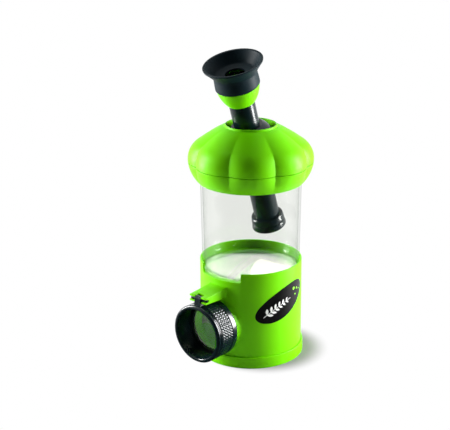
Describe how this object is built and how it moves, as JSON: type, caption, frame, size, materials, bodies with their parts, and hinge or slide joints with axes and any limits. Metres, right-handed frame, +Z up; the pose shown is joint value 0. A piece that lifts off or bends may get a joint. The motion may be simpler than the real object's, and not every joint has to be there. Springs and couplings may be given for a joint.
{
  "type": "insect viewer jar",
  "caption": "Clear insect jar on a mirror base with a lobed cap, a tilting and sliding viewer on a ball, and a flip-up magnifier over a side port.",
  "frame": {"origin": "centre of the base's flat underside", "axes": "+Z up along the jar, -Y from the jar through the port and the magnifier, +X to the right when the magnifier faces the viewer"},
  "size_m": [0.109, 0.1279, 0.2736],
  "materials": {
    "lime_plastic": "moulded, glossy",
    "black_plastic": "moulded, satin gloss",
    "black_rubber": "soft, matte",
    "clear_plastic": "clear, polished",
    "lens_plastic": "clear, polished",
    "mirror_face": "silvered",
    "pale_plastic": "moulded, matte",
    "screw_steel": "zinc plated",
    "felt": "pressed felt",
    "label_gloss": "printed gloss film"
  },
  "bodies": {
    "base": {"base_housing": "lime_plastic", "bottom_cover": "lime_plastic", "cover_screws": "screw_steel", "mirror_carrier": "pale_plastic", "mirror": "mirror_face", "label_plate": "label_gloss"},
    "jar": {"clear_jar": "clear_plastic"},
    "cap": {"cap_upper_shell": "lime_plastic", "cap_lower_shell": "lime_plastic", "cap_screws": "screw_steel", "ball_retainer": "black_plastic", "retainer_screws": "screw_steel"},
    "swivel": {"seat_ring": "felt"},
    "ball": {"swivel_ball": "black_plastic"},
    "viewer": {"scope_tube": "black_plastic", "eyepiece_housing": "lime_plastic", "eyepiece_lens": "lens_plastic", "eyepiece_lens_ring": "black_plastic", "eyecup": "black_rubber", "objective_collar": "black_plastic"},
    "objective": {"objective_cell": "black_plastic", "objective_lens": "lens_plastic", "objective_lens_ring": "black_plastic"},
    "magnifier": {"magnifier_housing": "black_plastic", "magnifier_lens": "lens_plastic", "magnifier_lens_ring": "black_plastic", "hinge_pin": "black_plastic"}
  },
  "joints": [
    {"name": "jar_lift", "type": "slide", "parent": "base", "child": "jar", "axis": [0, 0, 1], "range_m": [0, 0.015]},
    {"name": "cap_lift", "type": "slide", "parent": "jar", "child": "cap", "axis": [0, 0, 1], "range_m": [0, 0.075]},
    {"name": "viewer_swivel", "type": "hinge", "parent": "cap", "child": "swivel", "pos_m": [0, 0, 0.1913], "axis": [0, 0, 1], "continuous": true},
    {"name": "viewer_tilt", "type": "hinge", "parent": "swivel", "child": "ball", "pos_m": [0, 0, 0.1913], "axis": [-1, 0, 0], "range_deg": [0, 35.3]},
    {"name": "focus_slide", "type": "slide", "parent": "ball", "child": "viewer", "axis": [0, -0.3033, 0.9529], "range_m": [-0.0025, 0.022]},
    {"name": "objective_turn", "type": "hinge", "parent": "viewer", "child": "objective", "pos_m": [0, 0, 0.1913], "axis": [0, -0.3033, 0.9529], "continuous": true},
    {"name": "magnifier_flip", "type": "hinge", "parent": "base", "child": "magnifier", "pos_m": [0, -0.0685, 0.069], "axis": [-1, 0, 0], "range_deg": [0, 170]}
  ]
}
